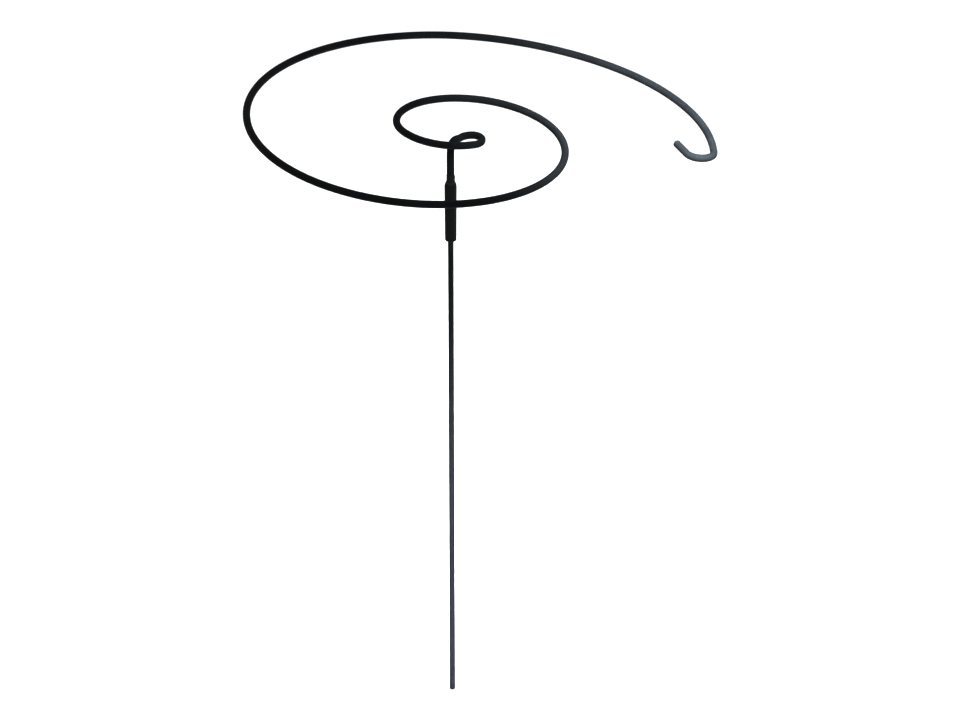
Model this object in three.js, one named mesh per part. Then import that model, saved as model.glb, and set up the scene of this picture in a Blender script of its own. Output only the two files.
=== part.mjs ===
// Spiral grow-through plant support.
// A head bent from one steel rod (stem, eye loop, opening spiral, end hook) plugs into a
// short coupler sleeve, and the sleeve plugs onto a straight ground stake.
// Units are millimetres, +Z is up, and the origin is the centre of the stake's foot.
// The stem, the sleeve and the stake share the Z axis. Seen from above, the rod winds
// clockwise all the way from the stem to the hook.

import * as THREE from "three";

// ------------------------------------------------------------------ driving dimensions

const GAP = 0.3; // left open between faces that rest on each other
const DEGREE = Math.PI / 180;

// Ground stake
const STAKE_RADIUS = 2.5;
const STAKE_CHAMFER = 0.4;
const STAKE_SIDES = 20;

// Joint sleeve: a slightly tapered coupler with a blind socket at each end
const SLEEVE_BOTTOM = 462.1; // height of its lower face
const SLEEVE_LENGTH = 56.5;
const SLEEVE_LOWER_RADIUS = 5.0;
const SLEEVE_UPPER_RADIUS = 5.3;
const SLEEVE_EDGE_RADIUS = 0.8; // round the lower end
const SLEEVE_EDGE_STEPS = 3;
const SHOULDER_WIDTH = 1.3; // the upper end narrows by this much, to the mouth of its socket
const SHOULDER_HEIGHT = 3.8;
const LOWER_SOCKET_DEPTH = 27.5;
const UPPER_SOCKET_DEPTH = 26; // the rest of the length is the web between the sockets
const SOCKET_CLEARANCE = 0.3; // all round each rod
const MOUTH_CHAMFER = 0.3;
const SLEEVE_SIDES = 32;

// Stop collar: a thin ferrule on the stem that rests on the sleeve
const COLLAR_HEIGHT = 6.1;
const COLLAR_RADIUS = 3.8;
const COLLAR_BORE_RADIUS = 3.4;
const COLLAR_CHAMFER = 0.2;
const COLLAR_SIDES = 24;

// Spiral rod
const ROD_RADIUS = 3.25;
const ROD_SIDES = 12;
const STEM_INSERTION = 25; // length of stem below the collar
const STEM_TOP = 543; // height where the stem starts to bend
const STEM_HANDLE = 18; // how far the bend keeps to the stem's line
const BEND_HANDLE = 6; // how far it keeps to the eye loop's line

// Plane of the spiral: its right side dips, and the whole plane is turned a little
const PLANE_CENTRE = new THREE.Vector3(-5.94, 15.2, 557);
const PLANE_DIP = 4.03 * DEGREE;
const PLANE_TURN = -2.2 * DEGREE;

// Eye loop, in the plane of the spiral
const EYE_CENTRE = new THREE.Vector2(23.5, -8.35);
const EYE_RADIUS = 9.9;
const EYE_FIRST_AZIMUTH = 150 * DEGREE;
const EYE_DROP = 1.35; // how far below the plane the loop starts
const EYE_CREST = 0.85; // how far it rises halfway round

// Opening spiral: radius = SPIRAL_RADIUS + SPIRAL_GROWTH * angle, angle counted from the left
const SPIRAL_RADIUS = 36.44;
const SPIRAL_GROWTH = 21.08; // per radian
const SPIRAL_FIRST_ANGLE = -0.05;
const SPIRAL_LAST_ANGLE = 9.05;
const SAG_FIRST_ANGLE = 7.7; // the outer turn sags a little between these two angles
const SAG_LAST_ANGLE = 9.0;
const SAG_DEPTH = 1.05;

// Outer end of the spiral: a wide arc, the tight hook and its straight tail
const LAST_ARC_RADIUS = 192;
const LAST_ARC_LENGTH = 82.5;
const HOOK_RADIUS = 12.3;
const HOOK_SWEEP = 157 * DEGREE;
const TAIL_LENGTH = 20.4;

// Steps along each section of the rod
const STEPS = { bend: 14, eye: 28, runIn: 14, spiral: 170, lastArc: 8, hook: 18 };

// ----------------------------------------------------------------- dimensions that follow

const SLEEVE_TOP = SLEEVE_BOTTOM + SLEEVE_LENGTH;
const STAKE_LENGTH = SLEEVE_BOTTOM + LOWER_SOCKET_DEPTH - GAP;
const COLLAR_BOTTOM = SLEEVE_TOP + GAP;

// ------------------------------------------------------------------------------ materials

function blackSteel() {
  return new THREE.MeshStandardMaterial({ color: 0x1d1f23, roughness: 0.42, metalness: 0.35 });
}

function blackPlastic() {
  return new THREE.MeshStandardMaterial({ color: 0x17181a, roughness: 0.6, metalness: 0 });
}

// ----------------------------------------------------------------------------- turned parts

// Solid of revolution about Z from a profile of [radius, height] points. The profile runs
// with the material on its left, and starts and ends on the axis or closes on itself.
function turned(profile, sides) {
  const points = profile.map(([radius, height]) => new THREE.Vector2(radius, height));
  return new THREE.LatheGeometry(points, sides).rotateX(90 * DEGREE);
}

function groundStake() {
  const inner = STAKE_RADIUS - STAKE_CHAMFER;
  const profile = [
    [0, 0],
    [inner, 0],
    [STAKE_RADIUS, STAKE_CHAMFER],
    [STAKE_RADIUS, STAKE_LENGTH - STAKE_CHAMFER],
    [inner, STAKE_LENGTH],
    [0, STAKE_LENGTH],
  ];
  return new THREE.Mesh(turned(profile, STAKE_SIDES), blackSteel());
}

function jointSleeve() {
  const lowerBore = STAKE_RADIUS + SOCKET_CLEARANCE;
  const upperBore = ROD_RADIUS + SOCKET_CLEARANCE;
  const lowerRoof = SLEEVE_BOTTOM + LOWER_SOCKET_DEPTH;
  const upperFloor = SLEEVE_TOP - UPPER_SOCKET_DEPTH;
  const lowerEdge = [];
  for (let step = 0; step <= SLEEVE_EDGE_STEPS; step += 1) {
    const angle = (90 * DEGREE * step) / SLEEVE_EDGE_STEPS;
    lowerEdge.push([
      SLEEVE_LOWER_RADIUS - SLEEVE_EDGE_RADIUS * (1 - Math.sin(angle)),
      SLEEVE_BOTTOM + SLEEVE_EDGE_RADIUS * (1 - Math.cos(angle)),
    ]);
  }
  const profile = [
    [0, lowerRoof],
    [lowerBore, lowerRoof],
    [lowerBore, SLEEVE_BOTTOM + MOUTH_CHAMFER],
    [lowerBore + MOUTH_CHAMFER, SLEEVE_BOTTOM],
    ...lowerEdge,
    [SLEEVE_UPPER_RADIUS, SLEEVE_TOP - SHOULDER_HEIGHT],
    [SLEEVE_UPPER_RADIUS - SHOULDER_WIDTH, SLEEVE_TOP],
    [upperBore + MOUTH_CHAMFER, SLEEVE_TOP],
    [upperBore, SLEEVE_TOP - MOUTH_CHAMFER],
    [upperBore, upperFloor],
    [0, upperFloor],
  ];
  return new THREE.Mesh(turned(profile, SLEEVE_SIDES), blackPlastic());
}

function stopCollar() {
  const top = COLLAR_BOTTOM + COLLAR_HEIGHT;
  const profile = [
    [COLLAR_BORE_RADIUS, COLLAR_BOTTOM],
    [COLLAR_RADIUS, COLLAR_BOTTOM],
    [COLLAR_RADIUS, top - COLLAR_CHAMFER],
    [COLLAR_RADIUS - COLLAR_CHAMFER, top],
    [COLLAR_BORE_RADIUS, top],
    [COLLAR_BORE_RADIUS, COLLAR_BOTTOM],
  ];
  return new THREE.Mesh(turned(profile, COLLAR_SIDES), blackSteel());
}

// -------------------------------------------------------------------------- path of the rod

// Sections laid end to end. Each has its own number of steps, so that tight bends get short
// steps and straight stretches long ones.
class RodPath extends THREE.Curve {
  constructor(sections) {
    super();
    this.sections = sections;
    this.steps = sections.reduce((sum, section) => sum + section.steps, 0);
  }

  getUtoTmapping(u) {
    return u;
  }

  getPoint(t) {
    let step = THREE.MathUtils.clamp(t, 0, 1) * this.steps;
    let index = 0;
    while (index < this.sections.length - 1 && step > this.sections[index].steps) {
      step -= this.sections[index].steps;
      index += 1;
    }
    const section = this.sections[index];
    return section.at(Math.min(step / section.steps, 1));
  }
}

// In the plane, a heading is the angle of travel and every bend turns to the right
function forward(heading) {
  return new THREE.Vector2(Math.cos(heading), Math.sin(heading));
}

function rightOf(heading) {
  return new THREE.Vector2(Math.sin(heading), -Math.cos(heading));
}

const planeToPart = new THREE.Matrix4().compose(
  PLANE_CENTRE,
  new THREE.Quaternion().setFromEuler(new THREE.Euler(0, PLANE_DIP, PLANE_TURN, "ZYX")),
  new THREE.Vector3(1, 1, 1),
);

function onPlane(point, lift = 0) {
  return new THREE.Vector3(point.x, point.y, lift).applyMatrix4(planeToPart);
}

// Point a fraction t of the way round a right-hand arc
function arcAt(arc, t) {
  const heading = arc.heading - arc.sweep * t;
  return arc.centre.clone().addScaledVector(rightOf(heading), -arc.radius);
}

function arcFrom(start, heading, radius, sweep) {
  const centre = start.clone().addScaledVector(rightOf(heading), radius);
  return { centre, heading, radius, sweep };
}

function arcSection(steps, arc) {
  return { steps, at: (t) => onPlane(arcAt(arc, t)) };
}

function lineSection(from, to) {
  const line = new THREE.LineCurve3(from, to);
  return { steps: 1, at: (t) => line.getPoint(t) };
}

function spiralPoint(angle) {
  const radius = SPIRAL_RADIUS + SPIRAL_GROWTH * angle;
  return new THREE.Vector2(-radius * Math.cos(angle), radius * Math.sin(angle));
}

function spiralHeading(angle) {
  const radius = SPIRAL_RADIUS + SPIRAL_GROWTH * angle;
  return Math.atan2(
    SPIRAL_GROWTH * Math.sin(angle) + radius * Math.cos(angle),
    -SPIRAL_GROWTH * Math.cos(angle) + radius * Math.sin(angle),
  );
}

// How far the rod is above the plane at an angle of the spiral: zero, but for the sag
function spiralLift(angle) {
  const along = (angle - SAG_FIRST_ANGLE) / (SAG_LAST_ANGLE - SAG_FIRST_ANGLE);
  return along > 0 && along < 1 ? -SAG_DEPTH * Math.sin(Math.PI * along) ** 2 : 0;
}

function spiralAt(angle) {
  return onPlane(spiralPoint(angle), spiralLift(angle));
}

// Eye loop, and the run-in arc that leads from it into the spiral. The run-in's radius
// makes it tangent to both.
function leadIn() {
  const endHeading = spiralHeading(SPIRAL_FIRST_ANGLE);
  const inward = rightOf(endHeading);
  const spiralStart = spiralPoint(SPIRAL_FIRST_ANGLE);
  const fromEye = spiralStart.clone().sub(EYE_CENTRE);
  const runInRadius =
    (EYE_RADIUS ** 2 - fromEye.lengthSq()) / (2 * (fromEye.dot(inward) + EYE_RADIUS));
  const runInCentre = spiralStart.addScaledVector(inward, runInRadius);
  const heading = runInCentre.clone().sub(EYE_CENTRE).angle() + 90 * DEGREE;
  const eyeHeading = EYE_FIRST_AZIMUTH - 90 * DEGREE;
  return {
    eye: {
      centre: EYE_CENTRE,
      heading: eyeHeading,
      radius: EYE_RADIUS,
      sweep: eyeHeading + 360 * DEGREE - heading,
    },
    runIn: {
      centre: runInCentre,
      heading,
      radius: runInRadius,
      sweep: heading - endHeading,
    },
  };
}

// The eye loop starts below the plane, crests it and settles into it
function eyeAt(eye, t) {
  const drop = (EYE_DROP * (1 + Math.cos(Math.PI * t))) / 2;
  const crest = EYE_CREST * Math.sin(Math.PI * t) ** 2;
  return onPlane(arcAt(eye, t), crest - drop);
}

// Free bend from the upright stem into the start of the eye loop
function stemBend(eye) {
  const foot = new THREE.Vector3(0, 0, STEM_TOP);
  const end = eyeAt(eye, 0);
  const beforeEye = eye.centre.clone().addScaledVector(rightOf(eye.heading), -eye.radius);
  beforeEye.addScaledVector(forward(eye.heading), -BEND_HANDLE);
  return new THREE.CubicBezierCurve3(
    foot,
    new THREE.Vector3(0, 0, STEM_TOP + STEM_HANDLE),
    onPlane(beforeEye, -EYE_DROP),
    end,
  );
}

function rodSections() {
  const { eye, runIn } = leadIn();
  const bend = stemBend(eye);
  const spiralSweep = SPIRAL_LAST_ANGLE - SPIRAL_FIRST_ANGLE;

  const lastArc = arcFrom(
    spiralPoint(SPIRAL_LAST_ANGLE),
    spiralHeading(SPIRAL_LAST_ANGLE),
    LAST_ARC_RADIUS,
    LAST_ARC_LENGTH / LAST_ARC_RADIUS,
  );
  const hookHeading = lastArc.heading - lastArc.sweep;
  const hook = arcFrom(arcAt(lastArc, 1), hookHeading, HOOK_RADIUS, HOOK_SWEEP);
  const tailStart = arcAt(hook, 1);
  const tailHeading = hookHeading - HOOK_SWEEP;
  const tailEnd = tailStart.clone().addScaledVector(forward(tailHeading), TAIL_LENGTH);

  const stemBottom = new THREE.Vector3(0, 0, COLLAR_BOTTOM - STEM_INSERTION);
  return [
    lineSection(stemBottom, bend.getPoint(0)),
    { steps: STEPS.bend, at: (t) => bend.getPoint(t) },
    { steps: STEPS.eye, at: (t) => eyeAt(eye, t) },
    arcSection(STEPS.runIn, runIn),
    {
      steps: STEPS.spiral,
      at: (t) => spiralAt(SPIRAL_FIRST_ANGLE + spiralSweep * t),
    },
    arcSection(STEPS.lastArc, lastArc),
    arcSection(STEPS.hook, hook),
    lineSection(onPlane(tailStart), onPlane(tailEnd)),
  ];
}

function spiralRod() {
  const path = new RodPath(rodSections());
  const corners = [];
  for (let side = 0; side < ROD_SIDES; side += 1) {
    corners.push(forward((360 * DEGREE * side) / ROD_SIDES).multiplyScalar(ROD_RADIUS));
  }
  const geometry = new THREE.ExtrudeGeometry(new THREE.Shape(corners), {
    steps: path.steps,
    extrudePath: path,
  });
  return new THREE.Mesh(geometry, blackSteel());
}

// --------------------------------------------------------------------------------- assembly

function named(name, mesh) {
  mesh.name = name;
  return mesh;
}

const head = new THREE.Group();
head.add(named("spiral_rod", spiralRod()), named("stop_collar", stopCollar()));

const plantSupport = new THREE.Group();
plantSupport.add(
  named("ground_stake", groundStake()),
  named("joint_sleeve", jointSleeve()),
  head,
);

export default plantSupport;
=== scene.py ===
"""Spiral grow-through plant support: the finished pieces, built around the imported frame.

The camera, floor and lights are in metres. The pieces are worked out in millimetres, as in
the part's own source, and scaled when their meshes are made.
"""

import math

import bpy
import numpy as np
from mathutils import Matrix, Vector, noise


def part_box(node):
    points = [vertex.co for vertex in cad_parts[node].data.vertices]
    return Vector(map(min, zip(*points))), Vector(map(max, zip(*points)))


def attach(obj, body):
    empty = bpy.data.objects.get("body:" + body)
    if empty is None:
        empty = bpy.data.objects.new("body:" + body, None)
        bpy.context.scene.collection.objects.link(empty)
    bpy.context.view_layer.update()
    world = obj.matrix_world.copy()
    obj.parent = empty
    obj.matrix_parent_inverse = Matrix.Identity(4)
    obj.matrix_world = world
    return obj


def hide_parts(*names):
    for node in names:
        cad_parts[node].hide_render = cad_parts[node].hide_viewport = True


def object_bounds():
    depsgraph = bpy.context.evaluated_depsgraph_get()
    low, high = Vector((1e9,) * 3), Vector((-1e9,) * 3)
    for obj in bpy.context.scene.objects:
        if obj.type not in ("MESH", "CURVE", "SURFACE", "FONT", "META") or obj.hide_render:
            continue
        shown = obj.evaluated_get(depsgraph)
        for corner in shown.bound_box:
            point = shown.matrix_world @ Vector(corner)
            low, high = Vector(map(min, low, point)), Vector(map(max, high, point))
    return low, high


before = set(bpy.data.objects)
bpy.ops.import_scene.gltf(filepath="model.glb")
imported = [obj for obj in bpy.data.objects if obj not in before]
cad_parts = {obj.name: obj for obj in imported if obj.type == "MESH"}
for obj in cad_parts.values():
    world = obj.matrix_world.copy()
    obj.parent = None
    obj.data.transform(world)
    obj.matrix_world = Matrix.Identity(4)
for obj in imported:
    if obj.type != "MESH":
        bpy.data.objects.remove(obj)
CAD_LOW, CAD_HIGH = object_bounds()

MM = 0.001


# ------------------------------------------------------------------------------- camera

CAMERA_ELEVATION = math.radians(28.883)
CAMERA_DISTANCE = 3.6741  # from the point it looks at
CAMERA_LENS = 154.86
AIM_ABOVE_CENTRE = 0.0313


def add_camera():
    centre = (CAD_LOW + CAD_HIGH) / 2
    aim = centre + Vector((0, 0, AIM_ABOVE_CENTRE))
    back = Vector((0, -math.cos(CAMERA_ELEVATION), math.sin(CAMERA_ELEVATION)))
    camera = bpy.data.objects.new("camera", bpy.data.cameras.new("camera"))
    camera.location = aim + back * CAMERA_DISTANCE
    camera.rotation_euler = (math.pi / 2 - CAMERA_ELEVATION, 0, 0)
    camera.data.lens = CAMERA_LENS
    camera.data.clip_end = 100
    bpy.context.scene.collection.objects.link(camera)
    bpy.context.scene.camera = camera


# ------------------------------------------------------------------------------ materials

# Linear colours. Each coat clouds from its dark to its light one.
COAT_DARK = (0.0068, 0.0074, 0.0092)
COAT_LIGHT = (0.0095, 0.0103, 0.0126)
DUST = (0.06, 0.06, 0.062)
WORN_TO_PRIMER = (0.050, 0.038, 0.034)
SCUFFED_GREY = (0.032, 0.033, 0.036)
FERRULE_DARK = (0.005, 0.005, 0.006)
FERRULE_LIGHT = (0.018, 0.019, 0.021)
PLASTIC_DARK = (0.0052, 0.0053, 0.0056)
PLASTIC_LIGHT = (0.0078, 0.008, 0.0083)
PLASTIC_RUBBED = (0.035, 0.035, 0.036)
PAPER_DARK = (0.93, 0.93, 0.93)
PAPER_LIGHT = (0.95, 0.95, 0.95)


class Nodes:
    """Short ways to add nodes to one material and link them."""

    def __init__(self, name):
        self.material = bpy.data.materials.new(name)
        self.material.use_nodes = True
        self.tree = self.material.node_tree
        self.shader = self.tree.nodes["Principled BSDF"]
        self.place = self.add("ShaderNodeTexCoord").outputs["Object"]

    def add(self, kind, **settings):
        node = self.tree.nodes.new(kind)
        for key, value in settings.items():
            setattr(node, key, value)
        return node

    def link(self, output, socket):
        self.tree.links.new(output, socket)

    def stretched(self, scale):
        """The place on the piece, scaled along each axis."""
        mapping = self.add("ShaderNodeMapping")
        mapping.inputs["Scale"].default_value = scale
        self.link(self.place, mapping.inputs["Vector"])
        return mapping.outputs["Vector"]

    def noise(self, scale, detail=3.0, roughness=0.5, place=None):
        node = self.add("ShaderNodeTexNoise")
        node.inputs["Scale"].default_value = scale
        node.inputs["Detail"].default_value = detail
        node.inputs["Roughness"].default_value = roughness
        self.link(place or self.place, node.inputs["Vector"])
        return node.outputs["Fac"]

    def ranged(self, value, low, high, to_low=0.0, to_high=1.0):
        """value, taken from the range low to high onto to_low to to_high."""
        node = self.add("ShaderNodeMapRange")
        ends = {"From Min": low, "From Max": high, "To Min": to_low, "To Max": to_high}
        for name, end in ends.items():
            node.inputs[name].default_value = end
        self.link(value, node.inputs["Value"])
        return node.outputs["Result"]

    def times(self, first, second):
        node = self.add("ShaderNodeMath", operation="MULTIPLY")
        self.link(first, node.inputs[0])
        self.link(second, node.inputs[1])
        return node.outputs["Value"]

    def mixed(self, share, first, second):
        """Colour first where share is 0 and second where it is 1. Each is a colour or an output."""
        node = self.add("ShaderNodeMix", data_type="RGBA")
        self.link(share, node.inputs["Factor"])
        for colour, socket in ((first, node.inputs["A"]), (second, node.inputs["B"])):
            if isinstance(colour, tuple):
                socket.default_value = (*colour, 1)
            else:
                self.link(colour, socket)
        return node.outputs["Result"]

    def wear(self):
        """How worn the surface is, from 0 to 1, painted on the mesh's points."""
        return self.add("ShaderNodeAttribute", attribute_name="wear").outputs["Fac"]

    def bump(self, layers):
        """Stacks (height, strength, distance) layers into the shader's normal."""
        normal = None
        for height, strength, distance in layers:
            node = self.add("ShaderNodeBump")
            node.inputs["Strength"].default_value = strength
            node.inputs["Distance"].default_value = distance
            self.link(height, node.inputs["Height"])
            if normal:
                self.link(normal, node.inputs["Normal"])
            normal = node.outputs["Normal"]
        self.link(normal, self.shader.inputs["Normal"])

    def finish(self, colour, roughness, specular):
        self.link(colour, self.shader.inputs["Base Color"])
        self.link(roughness, self.shader.inputs["Roughness"])
        self.shader.inputs["Specular IOR Level"].default_value = specular
        return self.material


def powder_coat(name, worn):
    """Satin black powder coat: orange peel, faint clouds, a few dust specks, worn edges."""
    n = Nodes(name)
    clouds = n.ranged(n.noise(45, 4, 0.6), 0.35, 0.65)
    specks = n.ranged(n.noise(2600, 2, 0.5), 0.71, 0.76)
    patchy = n.ranged(n.noise(700, 5, 0.65), 0.38, 0.62)
    scuffs = n.times(n.wear(), patchy)
    colour = n.mixed(clouds, COAT_DARK, COAT_LIGHT)
    colour = n.mixed(n.ranged(specks, 0, 1, 0, 0.5), colour, DUST)
    colour = n.mixed(scuffs, colour, worn)
    roughness = n.ranged(n.noise(160, 4, 0.6), 0.3, 0.7, 0.56, 0.7)
    peel = n.noise(620, 2, 0.4)
    grain = n.noise(3200, 2, 0.5)
    n.bump([(peel, 0.35, 0.12 * MM), (grain, 0.2, 0.03 * MM)])
    return n.finish(colour, roughness, 0.05)


def rough_coat(name):
    """Black coat over a crimped ferrule: lumpy, duller, greyer on its lumps."""
    n = Nodes(name)
    lumps = n.noise(900, 5, 0.65)
    colour = n.mixed(n.ranged(lumps, 0.35, 0.7), FERRULE_DARK, FERRULE_LIGHT)
    roughness = n.ranged(n.noise(1500, 3), 0.3, 0.7, 0.55, 0.8)
    n.bump([(lumps, 0.7, 0.25 * MM), (n.noise(3600, 3), 0.4, 0.05 * MM)])
    return n.finish(colour, roughness, 0.12)


def moulded_plastic(name):
    """Matt black moulded plastic: spark-eroded grain, faint draw lines, rubbed ends."""
    n = Nodes(name)
    draw_lines = n.noise(1, 3, 0.5, n.stretched((2600, 2600, 26)))
    clouds = n.ranged(n.noise(120, 4, 0.6), 0.3, 0.7)
    colour = n.mixed(clouds, PLASTIC_DARK, PLASTIC_LIGHT)
    rubbed = n.times(n.wear(), n.ranged(n.noise(1300, 4, 0.6), 0.4, 0.6))
    colour = n.mixed(rubbed, colour, PLASTIC_RUBBED)
    roughness = n.ranged(n.noise(400, 4, 0.6), 0.3, 0.7, 0.5, 0.64)
    n.bump([(draw_lines, 0.12, 0.04 * MM), (n.noise(5200, 2), 0.3, 0.03 * MM)])
    return n.finish(colour, roughness, 0.1)


# ---------------------------------------------------------------------------- mesh helpers


def skin(name, rings, wear, closed=False):
    """A solid from rings of points, laid one after the other with the same number of points.

    The first and last rings close onto their own middles, or onto each other if closed is
    true. wear holds one value for each ring.
    """
    count, sides, _ = rings.shape
    points = rings.reshape(-1, 3)
    faces = []
    for ring in range(count if closed else count - 1):
        a, b = ring * sides, ((ring + 1) % count) * sides
        for side in range(sides):
            after = (side + 1) % sides
            faces.append((a + side, a + after, b + after, b + side))
    worn = np.repeat(wear, sides)
    if not closed:
        points = np.vstack([points, rings[0].mean(0), rings[-1].mean(0)])
        worn = np.append(worn, (wear[0], wear[-1]))
        first, last, end = len(points) - 2, len(points) - 1, (count - 1) * sides
        for side in range(sides):
            after = (side + 1) % sides
            faces.append((first, after, side))
            faces.append((last, end + side, end + after))
    mesh = bpy.data.meshes.new(name)
    mesh.from_pydata(points.tolist(), [], faces)
    mesh.attributes.new("wear", "FLOAT", "POINT").data.foreach_set("value", worn)
    mesh.shade_smooth()
    piece = bpy.data.objects.new(name, mesh)
    bpy.context.scene.collection.objects.link(piece)
    return piece


def lathe(profile, sides, shape=None):
    """Rings about the Z axis from [radius, height] points. shape(radius, angle, height) may
    change the radius round the ring."""
    angles = np.linspace(0, 2 * math.pi, sides, endpoint=False)
    rings = np.empty((len(profile), sides, 3))
    for ring, (radius, height) in zip(rings, profile):
        radii = [shape(radius, angle, height) if shape else radius for angle in angles]
        ring[:, 0] = radii * np.cos(angles)
        ring[:, 1] = radii * np.sin(angles)
        ring[:, 2] = height
    return rings


def rounded(corner_radius, corner_height, edge, start, end, steps=8):
    """Points of an edge rounded about a centre, from one angle to another, in degrees."""
    angles = np.radians(np.linspace(start, end, steps))
    return [
        (corner_radius + edge * math.cos(angle), corner_height + edge * math.sin(angle))
        for angle in angles
    ]


def eased(start, corner, end, steps=8):
    """Points of a soft corner that leaves start towards corner and arrives at end."""
    points = []
    for t in np.linspace(0, 1, steps):
        weights = ((1 - t) ** 2, 2 * t * (1 - t), t * t)
        points.append(tuple(np.dot(weights, (start, corner, end))))
    return points


def straight(low, high, radius_low, radius_high, steps):
    """Points up or down a plain wall."""
    shares = np.linspace(0, 1, steps)
    return [
        (radius_low + (radius_high - radius_low) * t, low + (high - low) * t)
        for t in shares
    ]


def near(value, middle, reach):
    """1 at middle, falling smoothly to 0 at reach from it."""
    t = np.clip(1 - np.abs(np.asarray(value, float) - middle) / reach, 0, 1)
    return t * t * (3 - 2 * t)


# ----------------------------------------------------------------------- path of the rod

# Driving dimensions of the bent rod, in millimetres and degrees
ROD_RADIUS = 3.25
STEM_TOP = 543
STEM_HANDLE = 18
BEND_HANDLE = 6
PLANE_CENTRE = np.array([-5.94, 15.2, 557])
PLANE_DIP = math.radians(4.03)
PLANE_TURN = math.radians(-2.2)
EYE_CENTRE = np.array([23.5, -8.35])
EYE_RADIUS = 9.9
EYE_FIRST_AZIMUTH = math.radians(150)
EYE_DROP = 1.35
EYE_CREST = 0.85
SPIRAL_RADIUS = 36.44
SPIRAL_GROWTH = 21.08
SPIRAL_FIRST_ANGLE = -0.05
SPIRAL_LAST_ANGLE = 9.05
SAG_FIRST_ANGLE = 7.7
SAG_LAST_ANGLE = 9.0
SAG_DEPTH = 1.05
LAST_ARC_RADIUS = 192
LAST_ARC_LENGTH = 82.5
HOOK_RADIUS = 12.3
HOOK_SWEEP = math.radians(157)
TAIL_LENGTH = 20.4

# Points along each section of the path
POINTS = {
    "bend": 60, "eye": 84, "run_in": 90, "spiral": 900, "last_arc": 60, "hook": 64, "tail": 22,
}

PLANE_X = np.array([
    math.cos(PLANE_DIP) * math.cos(PLANE_TURN),
    math.cos(PLANE_DIP) * math.sin(PLANE_TURN),
    -math.sin(PLANE_DIP),
])
PLANE_Y = np.array([-math.sin(PLANE_TURN), math.cos(PLANE_TURN), 0])
PLANE_UP = np.cross(PLANE_X, PLANE_Y)


def on_plane(flat, lift=0.0):
    """Points of the spiral's plane, raised by lift, in the part's own frame."""
    flat = np.atleast_2d(flat)
    lift = np.broadcast_to(lift, len(flat))
    raised = lift[:, None] * PLANE_UP
    return PLANE_CENTRE + flat[:, :1] * PLANE_X + flat[:, 1:] * PLANE_Y + raised


def forward(heading):
    return np.stack([np.cos(heading), np.sin(heading)], -1)


def right_of(heading):
    return np.stack([np.sin(heading), -np.cos(heading)], -1)


class Arc:
    """A right-hand arc in the plane, from a point, a heading, a radius and a sweep."""

    def __init__(self, start, heading, radius, sweep):
        self.centre = start + radius * right_of(heading)
        self.heading, self.radius, self.sweep = heading, radius, sweep

    def at(self, share):
        """The point a share of the way along, or the points for an array of shares."""
        return self.centre - self.radius * right_of(self.heading - self.sweep * share)


def spiral_point(angle):
    radius = SPIRAL_RADIUS + SPIRAL_GROWTH * angle
    return np.stack([-radius * np.cos(angle), radius * np.sin(angle)], -1)


def spiral_heading(angle):
    radius = SPIRAL_RADIUS + SPIRAL_GROWTH * angle
    return math.atan2(
        SPIRAL_GROWTH * math.sin(angle) + radius * math.cos(angle),
        -SPIRAL_GROWTH * math.cos(angle) + radius * math.sin(angle),
    )


def lead_in():
    """The eye loop and the run-in arc, which touches both the loop and the spiral."""
    end_heading = spiral_heading(SPIRAL_FIRST_ANGLE)
    start = spiral_point(SPIRAL_FIRST_ANGLE)
    inward = right_of(end_heading)
    from_eye = start - EYE_CENTRE
    radius = (EYE_RADIUS**2 - from_eye @ from_eye) / (2 * (from_eye @ inward + EYE_RADIUS))
    across = start + radius * inward - EYE_CENTRE
    heading = math.atan2(across[1], across[0]) + math.pi / 2
    eye_heading = EYE_FIRST_AZIMUTH - math.pi / 2
    eye_start = EYE_CENTRE - EYE_RADIUS * right_of(eye_heading)
    eye = Arc(eye_start, eye_heading, EYE_RADIUS, eye_heading + 2 * math.pi - heading)
    return eye, Arc(eye.at(1), heading, radius, heading - end_heading)


def bezier(corners, t):
    """Points of a cubic curve from its four corners, for an array of shares t."""
    a, b, c, d = (np.array(corner, float) for corner in corners)
    t = t[:, None]
    return (1 - t) ** 3 * a + 3 * (1 - t) ** 2 * t * b + 3 * (1 - t) * t**2 * c + t**3 * d


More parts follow.
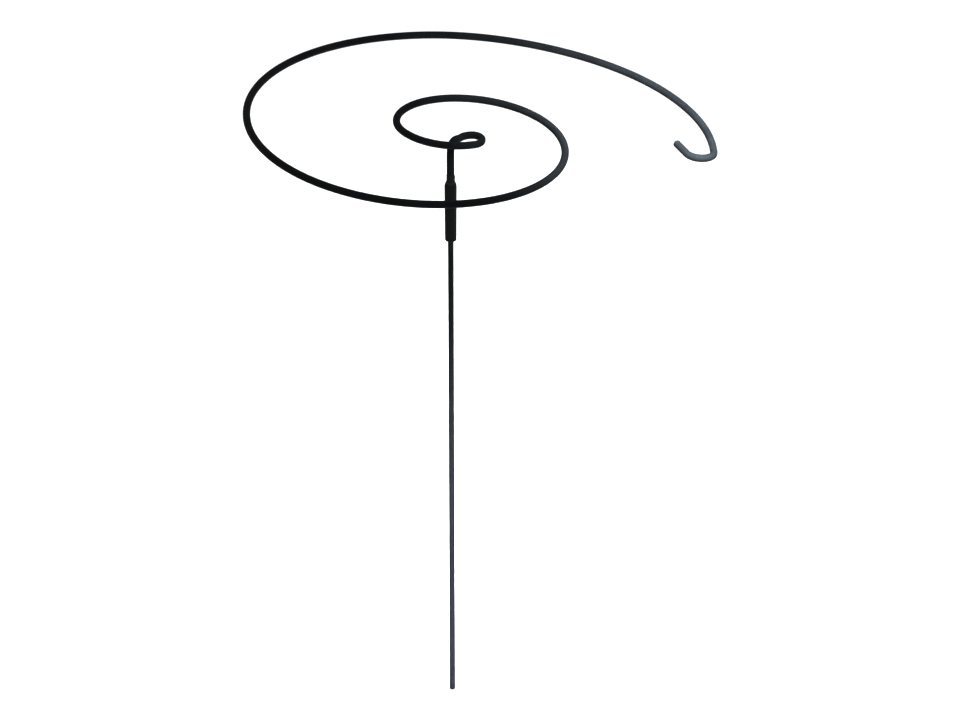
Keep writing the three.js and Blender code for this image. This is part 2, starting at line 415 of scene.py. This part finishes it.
def rod_path(stem_bottom):
    """Points along the rod's middle, from the stem's lower end to the tail's tip, in mm."""
    eye, run_in = lead_in()
    shares = {section: np.linspace(0, 1, count) for section, count in POINTS.items()}
    drop = EYE_DROP * (1 + np.cos(math.pi * shares["eye"])) / 2
    crest = EYE_CREST * np.sin(math.pi * shares["eye"]) ** 2
    eye_points = on_plane(eye.at(shares["eye"]), crest - drop)

    handle = eye.at(0) - BEND_HANDLE * forward(eye.heading)
    corners = [
        (0, 0, STEM_TOP),
        (0, 0, STEM_TOP + STEM_HANDLE),
        on_plane(handle, -EYE_DROP)[0],
        eye_points[0],
    ]
    bend = bezier(corners, shares["bend"])
    stem_heights = np.arange(stem_bottom, STEM_TOP, 1.0)
    stem = np.stack([0 * stem_heights, 0 * stem_heights, stem_heights], -1)

    run_in_points = on_plane(run_in.at(shares["run_in"]))
    spiral_sweep = SPIRAL_LAST_ANGLE - SPIRAL_FIRST_ANGLE
    angle = SPIRAL_FIRST_ANGLE + spiral_sweep * shares["spiral"]
    along = (angle - SAG_FIRST_ANGLE) / (SAG_LAST_ANGLE - SAG_FIRST_ANGLE)
    sag = SAG_DEPTH * np.sin(math.pi * np.clip(along, 0, 1)) ** 2
    spiral = on_plane(spiral_point(angle), -sag)

    last_arc = Arc(
        spiral_point(SPIRAL_LAST_ANGLE),
        spiral_heading(SPIRAL_LAST_ANGLE),
        LAST_ARC_RADIUS,
        LAST_ARC_LENGTH / LAST_ARC_RADIUS,
    )
    hook_heading = last_arc.heading - last_arc.sweep
    hook = Arc(last_arc.at(1), hook_heading, HOOK_RADIUS, HOOK_SWEEP)
    whole_tail = TAIL_LENGTH * forward(hook_heading - HOOK_SWEEP)
    last = on_plane(last_arc.at(shares["last_arc"]))
    hooked = on_plane(hook.at(shares["hook"]))
    tail = on_plane(hook.at(1) + shares["tail"][:, None] * whole_tail)
    sections = [stem, bend, eye_points, run_in_points, spiral, last, hooked, tail]
    return np.vstack([stem, *(section[1:] for section in sections[1:])])


def carried_frames(points):
    """Tangents, and two cross directions carried along the path without twist."""
    tangents = np.gradient(points, axis=0)
    tangents /= np.linalg.norm(tangents, axis=1)[:, None]
    across = np.empty_like(points)
    across[0] = (1, 0, 0)
    for i in range(1, len(points)):
        carried = across[i - 1] - (across[i - 1] @ tangents[i]) * tangents[i]
        across[i] = carried / np.linalg.norm(carried)
    return tangents, across, np.cross(tangents, across)


# ------------------------------------------------------------------------------------ rod

# Finish of the rod, in millimetres
RING_STEP = 0.9
ROD_SIDES = 32
TIP_EDGE = 0.9  # rounding of the tail's cut end
PLUG_EDGE = 0.4  # and of the stem's
EDGE_RINGS = 9
CRUSH = 0.12  # a bend flattens the rod by this, times the rod's radius over the bend's
CRUSH_BLUR = 13  # points of the path over which the flattening is blurred


def resampled(values, old_places, new_places):
    """Rows of values given at old_places, read off at new_places."""
    columns = [np.interp(new_places, old_places, column) for column in values.T]
    return np.stack(columns, -1)


def rod_stations(length):
    """How far along the rod each ring is, and its radius, with both cut ends rounded."""
    turn = np.radians(np.linspace(0, 90, EDGE_RINGS))
    plug = PLUG_EDGE * (1 - np.cos(turn))
    tip = length - TIP_EDGE * (1 - np.sin(turn))
    steady = np.linspace(plug[-1], tip[0], round(length / RING_STEP))[1:-1]
    stations = np.concatenate([[0, 0], plug, steady, tip, [length, length]])
    radii = np.concatenate([
        [0.9, 1.8],
        ROD_RADIUS - PLUG_EDGE * (1 - np.sin(turn)),
        np.full(len(steady), ROD_RADIUS),
        ROD_RADIUS - TIP_EDGE * (1 - np.cos(turn)),
        [1.4, 0.7],
    ])
    return stations, radii


def bent_rings(path, along, stations, radii):
    """Rings of the given radii round the path, pressed a little oval where it bends tightly."""
    places = np.linspace(0, along[-1], 2 * round(along[-1] / RING_STEP))
    even = resampled(path, along, places)
    tangents, across, beside = carried_frames(even)
    bending = np.gradient(tangents, places, axis=0)
    window = np.hanning(CRUSH_BLUR) / np.hanning(CRUSH_BLUR).sum()
    bending = np.stack([np.convolve(column, window, "same") for column in bending.T], -1)
    centres, across, beside, bending = (
        resampled(values, places, stations) for values in (even, across, beside, bending)
    )
    angles = np.linspace(0, 2 * math.pi, ROD_SIDES, endpoint=False)
    round_section = (
        across[:, None] * np.cos(angles)[None, :, None]
        + beside[:, None] * np.sin(angles)[None, :, None]
    ) * radii[:, None, None]
    tightness = np.linalg.norm(bending, axis=1)
    inward = bending / np.maximum(tightness, 1e-9)[:, None]
    squeeze = CRUSH * ROD_RADIUS * tightness
    share = (round_section * inward[:, None]).sum(-1, keepdims=True)
    pressed = share * inward[:, None] * squeeze[:, None, None]
    section = round_section * (1 + squeeze / 2)[:, None, None] - 1.5 * pressed
    return centres[:, None] + section


def build_rod():
    path = rod_path(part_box("spiral_rod")[0].z / MM)
    along = np.append(0, np.cumsum(np.linalg.norm(np.diff(path, axis=0), axis=1)))
    length = along[-1]
    stations, radii = rod_stations(length)
    rings = bent_rings(path, along, stations, radii) * MM
    wear = 0.9 * near(stations, length, 2.4) + 0.5 * near(stations, 0, 30)
    rod = skin("spiral_rod_coated", rings, wear)
    rod.data.materials.append(powder_coat("rod powder coat", WORN_TO_PRIMER))
    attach(rod, "head")
    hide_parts("spiral_rod")


# --------------------------------------------------------------------------------- collar

# In millimetres and radians
COLLAR_SIDES = 80
COLLAR_SEATING = 0.45  # how far it reaches down to sit on the sleeve
COLLAR_INSET = 0.22  # its body lies this far inside its outline, and the lumps come out to it
COLLAR_FOOT = 1.6  # height over which its lower end swells out of the sleeve's mouth
COLLAR_NECK = 2.2  # height over which its upper end is drawn in onto the rod
LUMP_HEIGHT = 0.2
SEAM_HEIGHT = 0.32  # how far the seam bulges
SEAM_AZIMUTH = 0.25
SEAM_SPREAD = 0.6
SEAM_MIDDLE = 3.6  # above the collar's lower end
SEAM_REACH = 3.4


def build_collar():
    low, high = (corner.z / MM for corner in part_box("stop_collar"))
    low -= COLLAR_SEATING
    foot, neck = low + COLLAR_FOOT, high - COLLAR_NECK
    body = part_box("stop_collar")[1].x / MM - COLLAR_INSET
    bore = ROD_RADIUS - 0.05  # it grips the rod
    profile = straight(low, low, bore, ROD_RADIUS + 0.2, 3)
    profile += eased((ROD_RADIUS + 0.25, low), (body, low + 0.2), (body, foot))
    profile += straight(foot, neck, body, body, 18)[1:]
    profile += eased((body, neck), (body, high - 0.3), (ROD_RADIUS + 0.06, high), 14)[1:]
    profile += straight(high, low, bore, bore, 10)[:-1]

    def crimped(radius, angle, height):
        if radius <= bore:
            return radius
        place = Vector((math.cos(angle) * 1.7, math.sin(angle) * 1.7, height * 0.42))
        lumps = noise.noise(place) + 0.45 * noise.noise(place * 2.6)
        from_seam = (angle - SEAM_AZIMUTH + math.pi) % (2 * math.pi) - math.pi
        seam = math.exp(-((from_seam / SEAM_SPREAD) ** 2))
        seam *= near(height, low + SEAM_MIDDLE, SEAM_REACH)
        outwards = (radius - bore) / (body - bore)
        return radius + outwards * (LUMP_HEIGHT * lumps + SEAM_HEIGHT * seam)

    rings = lathe(profile, COLLAR_SIDES, crimped) * MM
    collar = skin("stop_collar_crimped", rings, np.zeros(len(rings)), closed=True)
    collar.data.materials.append(rough_coat("collar coat"))
    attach(collar, "head")
    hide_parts("stop_collar")


# --------------------------------------------------------------------------------- sleeve

# In millimetres and radians
SLEEVE_SIDES = 180
SLEEVE_TAPER = 0.3  # its lower end's radius is this much less than its upper end's
SLEEVE_EDGE = 0.8  # round its lower end
SHOULDER_WIDTH = 1.3
SHOULDER_HEIGHT = 3.8
LOWER_SOCKET_DEPTH = 27.5
UPPER_SOCKET_DEPTH = 26
SOCKET_CLEARANCE = 0.3
MOUTH_CHAMFER = 0.3
SOCKET_FILLET = 0.35
HUB = 0.4  # radius of the flat middle of each socket's end
PARTING_HEIGHT = 0.07  # how proud the mould's parting line stands
PARTING_WIDTH = 0.035  # half its width, as the sine of an angle
PARTING_AZIMUTH = 0.6


def sleeve_profile(bottom, top, lower, upper, lower_bore, upper_bore):
    """From the upper socket's end, out over the sleeve, to the lower socket's end."""
    web_low, web_high = bottom + LOWER_SOCKET_DEPTH, top - UPPER_SOCKET_DEPTH
    shoulder, rim = top - SHOULDER_HEIGHT, upper - SHOULDER_WIDTH
    mouth, fillet, edge = MOUTH_CHAMFER, SOCKET_FILLET, SLEEVE_EDGE

    profile = straight(web_high, web_high, HUB, upper_bore - fillet, 4)
    profile += rounded(upper_bore - fillet, web_high + fillet, fillet, -90, 0, 5)[1:]
    profile += straight(web_high + fillet, top - mouth, upper_bore, upper_bore, 24)[1:]
    profile += straight(top - mouth, top, upper_bore, upper_bore + mouth, 5)[1:]

    profile += eased((rim - 0.1, top), (rim + 0.03, top), (rim + 0.14, top - 0.4), 5)
    profile += eased((upper - 0.42, shoulder + 1.2), (upper, shoulder), (upper, shoulder - 1.4))
    profile += straight(shoulder - 1.4, bottom + edge, upper, lower, 56)[1:]
    profile += rounded(lower - edge, bottom + edge, edge, 0, -90, 10)[1:]

    profile += straight(bottom, bottom, lower - edge, lower_bore + mouth, 3)[1:]
    profile += straight(bottom, bottom + mouth, lower_bore + mouth, lower_bore, 5)[1:]
    profile += straight(bottom + mouth, web_low - fillet, lower_bore, lower_bore, 24)[1:]
    profile += rounded(lower_bore - fillet, web_low - fillet, fillet, 0, 90, 5)[1:]
    profile += straight(web_low, web_low, lower_bore - fillet, HUB, 4)[1:]
    return profile


def build_sleeve():
    bottom, top = (corner.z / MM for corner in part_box("joint_sleeve"))
    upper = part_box("joint_sleeve")[1].x / MM
    lower = upper - SLEEVE_TAPER
    lower_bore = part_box("ground_stake")[1].x / MM + SOCKET_CLEARANCE
    upper_bore = ROD_RADIUS + SOCKET_CLEARANCE
    profile = sleeve_profile(bottom, top, lower, upper, lower_bore, upper_bore)

    def parted(radius, angle, height):
        if radius < lower - 0.05:
            return radius
        from_line = abs(math.sin(angle - PARTING_AZIMUTH))
        return radius + PARTING_HEIGHT * max(0.0, 1 - from_line / PARTING_WIDTH)

    rings = lathe(profile, SLEEVE_SIDES, parted) * MM
    radii, heights = np.array(profile).T
    ends = np.maximum(near(heights, bottom, 1.6), near(heights, top, 1.6))
    wear = np.where(radii > lower_bore + 0.2, ends, 0.0)
    sleeve = skin("joint_sleeve_moulded", rings, wear)
    sleeve.data.materials.append(moulded_plastic("sleeve plastic"))
    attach(sleeve, "sleeve")
    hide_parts("joint_sleeve")


# ---------------------------------------------------------------------------------- stake

# In millimetres
STAKE_SIDES = 48
STAKE_EDGE = 0.45  # round both cut ends
STAKE_RING_STEP = 1.2
SOIL_REACH = 140  # how far up the foot soil scuffs the coat


def build_stake():
    low, high = (corner.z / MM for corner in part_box("ground_stake"))
    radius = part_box("ground_stake")[1].x / MM
    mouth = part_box("joint_sleeve")[0].z / MM
    inner, foot, head = radius - STAKE_EDGE, low + STAKE_EDGE, high - STAKE_EDGE
    profile = [(0.8, low), (1.5, low)]
    profile += rounded(inner, foot, STAKE_EDGE, -90, 0)
    profile += straight(foot, head, radius, radius, round((high - low) / STAKE_RING_STEP))[1:]
    profile += rounded(inner, head, STAKE_EDGE, 0, 90)[1:]
    profile += [(1.5, high), (0.8, high)]
    rings = lathe(profile, STAKE_SIDES) * MM
    heights = np.array(profile)[:, 1]
    scuffed = 0.4 * near(heights, low, SOIL_REACH) ** 1.5 + 0.5 * near(heights, low, 2)
    rubbed = 0.5 * near(heights, mouth - 1, 16)
    stake = skin("ground_stake_coated", rings, scuffed + rubbed)
    stake.data.materials.append(powder_coat("stake powder coat", SCUFFED_GREY))
    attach(stake, "stake")
    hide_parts("ground_stake")


# ------------------------------------------------------------------------- floor and light

FLOOR_REACH = 60
VIEW_GAMMA = 0.8
WORLD_STRENGTH = 0.5
SKY_STRENGTH = 2.0
SKY_ANGLE = 100  # degrees, wide enough to leave no shadow edges
SKY_DIRECTION = (-0.25, 0.1, -1)
LOW_FILL_COLOUR = (0.9, 0.905, 1.0)
SIDE_FILL_COLOUR = (0.92, 1.0, 0.93)


def add_floor():
    mesh = bpy.data.meshes.new("floor")
    corners = [(-1, -1), (1, -1), (1, 1), (-1, 1)]
    points = [(x * FLOOR_REACH, y * FLOOR_REACH, 0) for x, y in corners]
    mesh.from_pydata(points, [], [(0, 1, 2, 3)])
    floor = bpy.data.objects.new("floor", mesh)
    n = Nodes("floor paper")
    colour = n.mixed(n.noise(3, 4), PAPER_DARK, PAPER_LIGHT)
    floor.data.materials.append(n.finish(colour, n.ranged(n.noise(40), 0, 1, 0.85, 0.95), 0.05))
    bpy.context.scene.collection.objects.link(floor)


def add_lamp(light, place, direction):
    lamp = bpy.data.objects.new(light.name, light)
    lamp.location = place
    lamp.rotation_euler = direction.to_track_quat("-Z", "Y").to_euler()
    bpy.context.scene.collection.objects.link(lamp)
    return lamp


def add_area_light(name, place, target, width, height, spread, power, colour):
    """A soft lamp that brightens the black coats without glinting on them."""
    light = bpy.data.lights.new(name, "AREA")
    light.shape = "ELLIPSE"
    light.size = width
    light.size_y = height
    light.spread = math.radians(spread)
    light.energy = power
    light.color = colour
    lamp = add_lamp(light, place, target - place)
    lamp.visible_camera = False
    lamp.visible_glossy = False


def add_light():
    scene = bpy.context.scene
    scene.view_settings.view_transform = "Standard"
    scene.view_settings.gamma = VIEW_GAMMA
    world = bpy.data.worlds.new("studio")
    world.use_nodes = True
    backdrop = world.node_tree.nodes["Background"]
    backdrop.inputs["Color"].default_value = (1, 1, 1, 1)
    backdrop.inputs["Strength"].default_value = WORLD_STRENGTH
    scene.world = world

    sky = bpy.data.lights.new("sky light", "SUN")
    sky.energy = SKY_STRENGTH
    sky.angle = math.radians(SKY_ANGLE)
    add_lamp(sky, (0, 0, 0), Vector(SKY_DIRECTION))

    foot = Vector((0, 0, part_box("ground_stake")[0].z))
    add_area_light(
        "low fill light",
        foot + Vector((0.02, -0.18, 0.17)),
        foot + Vector((0, 0, 0.15)),
        width=0.12, height=0.32, spread=120, power=2.3, colour=LOW_FILL_COLOUR,
    )
    hook = Vector((CAD_HIGH.x - 0.02, (CAD_LOW.y + CAD_HIGH.y) / 2, CAD_HIGH.z - 0.025))
    add_area_light(
        "side fill light",
        hook + Vector((0.05, -0.22, 0.26)),
        hook,
        width=0.24, height=0.24, spread=48, power=4.0, colour=SIDE_FILL_COLOUR,
    )


build_rod()
build_collar()
build_sleeve()
build_stake()
add_floor()
add_light()
add_camera()
